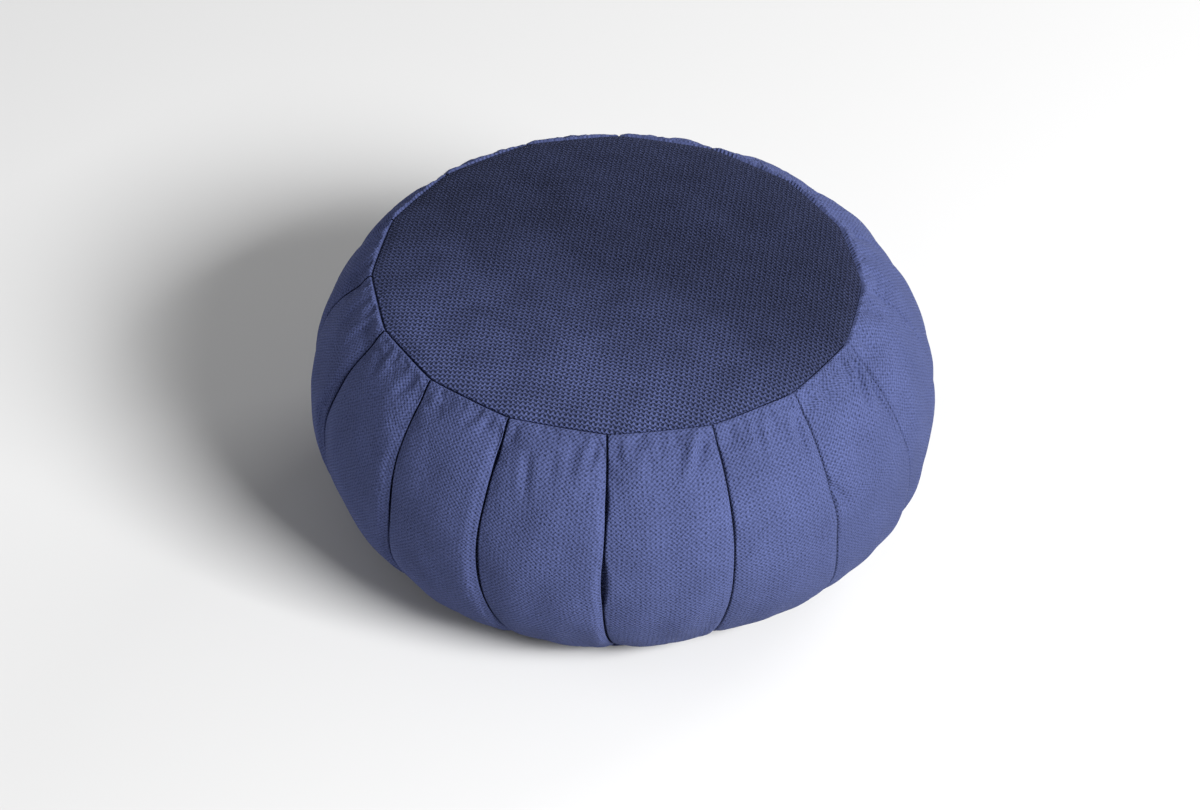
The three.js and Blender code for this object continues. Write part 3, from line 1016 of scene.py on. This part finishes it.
class CUSHION_OT_top_disc(bpy.types.Operator):
    """Makes the crowned disc of cloth on top"""

    bl_idname = "cushion.top_disc"
    bl_label = "Top Disc"

    def execute(self, context):
        size = sizes()
        points, uv, poles = disc_surface(0, crown, 0, -size["cloth_thickness"], size)
        piece = grid_mesh("top_panel", points, uv, poles=poles)
        piece.data.materials.append(woven_chenille("Top_Chenille", DISC_WEAVE))
        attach(piece, "root")
        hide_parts("top_disc")
        return {"FINISHED"}


class CUSHION_OT_bottom_disc(bpy.types.Operator):
    """Makes the flat disc of cloth that the cushion stands on"""

    bl_idname = "cushion.bottom_disc"
    bl_label = "Bottom Disc"

    def execute(self, context):
        size = sizes()
        points, uv, poles = disc_surface(4, base, 0, size["cloth_thickness"], size)
        piece = grid_mesh("bottom_panel", points, uv, poles=poles)
        piece.data.materials.append(woven_chenille("Bottom_Chenille", DISC_WEAVE))
        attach(piece, "root")
        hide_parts("bottom_disc")
        return {"FINISHED"}


# The camera, as fitted to the photograph: its distance from the middle of the seams, its elevation, how far
# it is moved off that line, and its focal length in pixels of a picture 1200 wide
CAMERA_DISTANCE = 2.32
CAMERA_ELEVATION = math.radians(38.53)
CAMERA_OFFSET = (9.78 * MM, 12.78 * MM)
FOCAL_PIXELS = 3879.8
PICTURE_WIDTH = 1200

# Soft lights: how far round from the front and how high each stands, in degrees, its size in metres and
# its watts
LIGHTS = [
    {"name": "Right_Front_Softbox", "turn": 46, "elevation": 34, "wide": 1.6, "tall": 1.0, "watts": 276},
    {"name": "Right_Rear_Softbox", "turn": 136, "elevation": 22, "wide": 1.8, "tall": 0.9, "watts": 52},
    {"name": "Left_Fill", "turn": -104, "elevation": 8, "wide": 2.0, "tall": 1.4, "watts": 50},
]

# How far off the lights stand and what they aim at, in metres, the world's strength, and half the floor's
# width
LIGHT_DISTANCE = 3.5
LIGHT_AIM = Vector((0, 0, 0.08))
WORLD_STRENGTH = 0.21
FLOOR_REACH = 6.0


def lay_floor():
    """A plain square of matt white board, which gives the eye an even pale ground with no glints."""
    mesh = bpy.data.meshes.new("floor")
    corners = [(-1, -1), (1, -1), (1, 1), (-1, 1)]
    mesh.from_pydata([(x * FLOOR_REACH, y * FLOOR_REACH, 0) for x, y in corners], [], [(0, 1, 2, 3)])
    floor = bpy.data.objects.new("floor", mesh)
    bpy.context.collection.objects.link(floor)
    paint = bpy.data.materials.new("Matt_White_Board")
    paint.use_nodes = True
    shader = paint.node_tree.nodes["Principled BSDF"]
    shader.inputs["Base Color"].default_value = from_hex("#cccccc")
    shader.inputs["Roughness"].default_value = 0.9
    mesh.materials.append(paint)


def hang_light(row):
    """A rectangle of light that faces the cushion."""
    data = bpy.data.lights.new(row["name"], "AREA")
    data.shape = "RECTANGLE"
    data.size = row["wide"]
    data.size_y = row["tall"]
    data.energy = row["watts"]
    lamp = bpy.data.objects.new(row["name"], data)
    turn, elevation = math.radians(row["turn"]), math.radians(row["elevation"])
    flat = math.cos(elevation)
    out = Vector((math.sin(turn) * flat, -math.cos(turn) * flat, math.sin(elevation)))
    lamp.location = LIGHT_DISTANCE * out + LIGHT_AIM
    lamp.rotation_euler = (-out).to_track_quat("-Z", "Y").to_euler()
    bpy.context.collection.objects.link(lamp)


def set_camera(scene):
    """The camera that took the photograph, with no depth of field and no shift."""
    size = scene.cushion_sizes
    back = Vector((0, -math.cos(CAMERA_ELEVATION), math.sin(CAMERA_ELEVATION)))
    up = Vector((0, math.sin(CAMERA_ELEVATION), math.cos(CAMERA_ELEVATION)))
    right = Vector((1, 0, 0))
    centre = Vector((size.seam_shift, 0, size.middle_height))
    data = bpy.data.cameras.new("photograph_view")
    data.sensor_width = 36
    data.lens = FOCAL_PIXELS / PICTURE_WIDTH * data.sensor_width
    data.clip_start = 0.1
    data.clip_end = 50
    camera = bpy.data.objects.new("photograph_view", data)
    location = centre + back * CAMERA_DISTANCE - right * CAMERA_OFFSET[0] - up * CAMERA_OFFSET[1]
    turned = Matrix((right, up, back)).transposed().to_4x4()
    camera.matrix_world = Matrix.Translation(location) @ turned
    bpy.context.collection.objects.link(camera)
    scene.camera = camera


class CUSHION_OT_stage(bpy.types.Operator):
    """Sets the pale floor, the soft studio lights and the camera"""

    bl_idname = "cushion.stage"
    bl_label = "Studio"

    def execute(self, context):
        scene = context.scene
        lay_floor()
        for row in LIGHTS:
            hang_light(row)
        world = bpy.data.worlds.new("Pale_Studio")
        world.use_nodes = True
        background = world.node_tree.nodes["Background"]
        background.inputs["Color"].default_value = (1, 1, 1, 1)
        background.inputs["Strength"].default_value = WORLD_STRENGTH
        scene.world = world
        scene.view_settings.view_transform = "Standard"
        set_camera(scene)
        return {"FINISHED"}


class CUSHION_PT_panel(bpy.types.Panel):
    """Lists the cushion's sizes, colours and pieces"""

    bl_label = "Cushion"
    bl_idname = "CUSHION_PT_panel"
    bl_space_type = "VIEW_3D"
    bl_region_type = "UI"
    bl_category = "Cushion"

    def draw(self, context):
        layout = self.layout
        for group in (context.scene.cushion_sizes, context.scene.cushion_cloth):
            for name in type(group).__annotations__:
                layout.prop(group, name)
        for operator in OPERATORS:
            layout.operator(operator.bl_idname)


GROUPS = (CushionSizes, CushionCloth)
OPERATORS = (CUSHION_OT_stage, CUSHION_OT_pleated_band, CUSHION_OT_top_disc, CUSHION_OT_bottom_disc)


def register():
    for kind in (*GROUPS, *OPERATORS, CUSHION_PT_panel):
        bpy.utils.register_class(kind)
    bpy.types.Scene.cushion_sizes = PointerProperty(type=CushionSizes)
    bpy.types.Scene.cushion_cloth = PointerProperty(type=CushionCloth)


def unregister():
    del bpy.types.Scene.cushion_cloth
    del bpy.types.Scene.cushion_sizes
    for kind in reversed((*GROUPS, *OPERATORS, CUSHION_PT_panel)):
        bpy.utils.unregister_class(kind)


def main():
    register()
    bpy.ops.cushion.stage()
    bpy.ops.cushion.pleated_band()
    bpy.ops.cushion.top_disc()
    bpy.ops.cushion.bottom_disc()
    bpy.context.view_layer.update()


if __name__ == "__main__":
    main()
